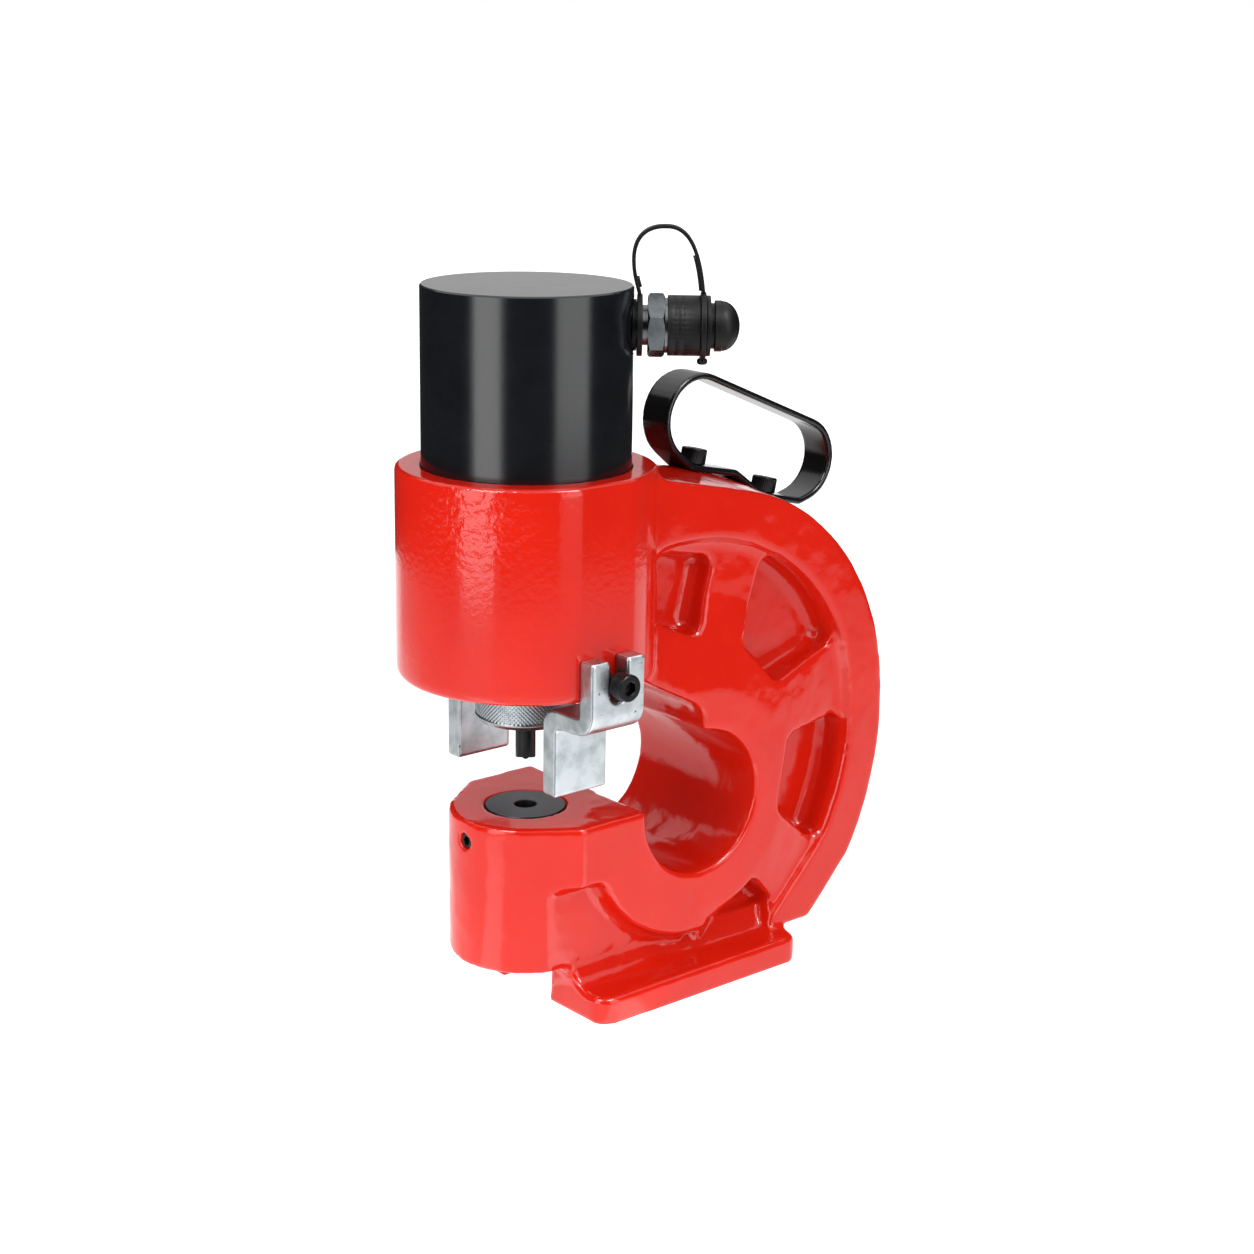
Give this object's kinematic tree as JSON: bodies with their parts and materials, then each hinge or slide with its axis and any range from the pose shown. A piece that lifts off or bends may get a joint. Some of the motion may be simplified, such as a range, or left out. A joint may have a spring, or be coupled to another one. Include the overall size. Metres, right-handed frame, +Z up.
{
  "type": "hydraulic hole punch",
  "caption": "Portable hydraulic hole punch: red cast C-frame on two feet, black cylinder, carrying handle, zinc stripper brackets, punch, die and a capped hose coupler.",
  "frame": {"origin": "the middle of the tool's outline, on the bench that its feet stand on", "axes": "+Z up along the punch line, +X from the head to the closed back of the C, +Y across the plate, so the hose port points to +X and -Y"},
  "size_m": [0.2719, 0.1562, 0.383],
  "materials": {
    "red_enamel": "gloss enamel over cast steel",
    "black_cylinder": "satin black",
    "ground_steel": "ground and polished",
    "zinc_plate": "bright zinc plating",
    "tool_steel": "hardened, dark",
    "black_steel": "black oxide",
    "black_paint": "satin black",
    "spring_steel": "oiled",
    "bronze": "machined",
    "seal": "moulded",
    "black_rubber": "moulded, matt",
    "bearing_plastic": "cut ring",
    "small_spring": "drawn wire"
  },
  "bodies": {
    "frame_body": {"frame": "red_enamel", "cylinder_tube": "black_cylinder", "return_spring": "spring_steel", "guide_bush": "bronze", "wiper_seal": "black_rubber", "die": "tool_steel", "die_set_screw": "black_steel", "stripper_screws": "black_steel", "handle": "black_paint", "handle_screws": "black_steel", "port_seal": "black_rubber", "port_nipple": "zinc_plate", "coupler_body": "zinc_plate", "poppet_spring": "small_spring", "cap_tether": "black_rubber"},
    "ram_body": {"ram": "ground_steel", "piston_seal": "seal", "piston_wear_ring": "bearing_plastic", "punch_nut": "zinc_plate", "punch": "black_steel"},
    "stripper_near_body": {"stripper_near": "zinc_plate"},
    "stripper_far_body": {"stripper_far": "zinc_plate"},
    "dust_cap_body": {"dust_cap": "black_rubber"},
    "poppet_body": {"coupler_poppet": "ground_steel"}
  },
  "joints": [
    {"name": "ram_stroke", "type": "slide", "parent": "frame_body", "child": "ram_body", "axis": [0, 0, -1], "range_m": [0, 0.0269], "stiffness_N_per_m": 2000, "springref_m": -0.03, "deforming": ["return_spring"]},
    {"name": "stripper_near_lift", "type": "slide", "parent": "frame_body", "child": "stripper_near_body", "axis": [0, 0, 1], "range_m": [-0.01, 0.0046]},
    {"name": "stripper_far_lift", "type": "slide", "parent": "frame_body", "child": "stripper_far_body", "axis": [0, 0, 1], "range_m": [-0.01, 0.0046]},
    {"name": "dust_cap_pull", "type": "slide", "parent": "frame_body", "child": "dust_cap_body", "axis": [0.766, -0.6428, 0], "range_m": [0, 0.014], "deforming": ["cap_tether"]},
    {"name": "poppet_push", "type": "slide", "parent": "frame_body", "child": "poppet_body", "axis": [-0.766, 0.6428, 0], "range_m": [0, 0.003], "stiffness_N_per_m": 300, "springref_m": -0.003, "deforming": ["poppet_spring"]}
  ]
}
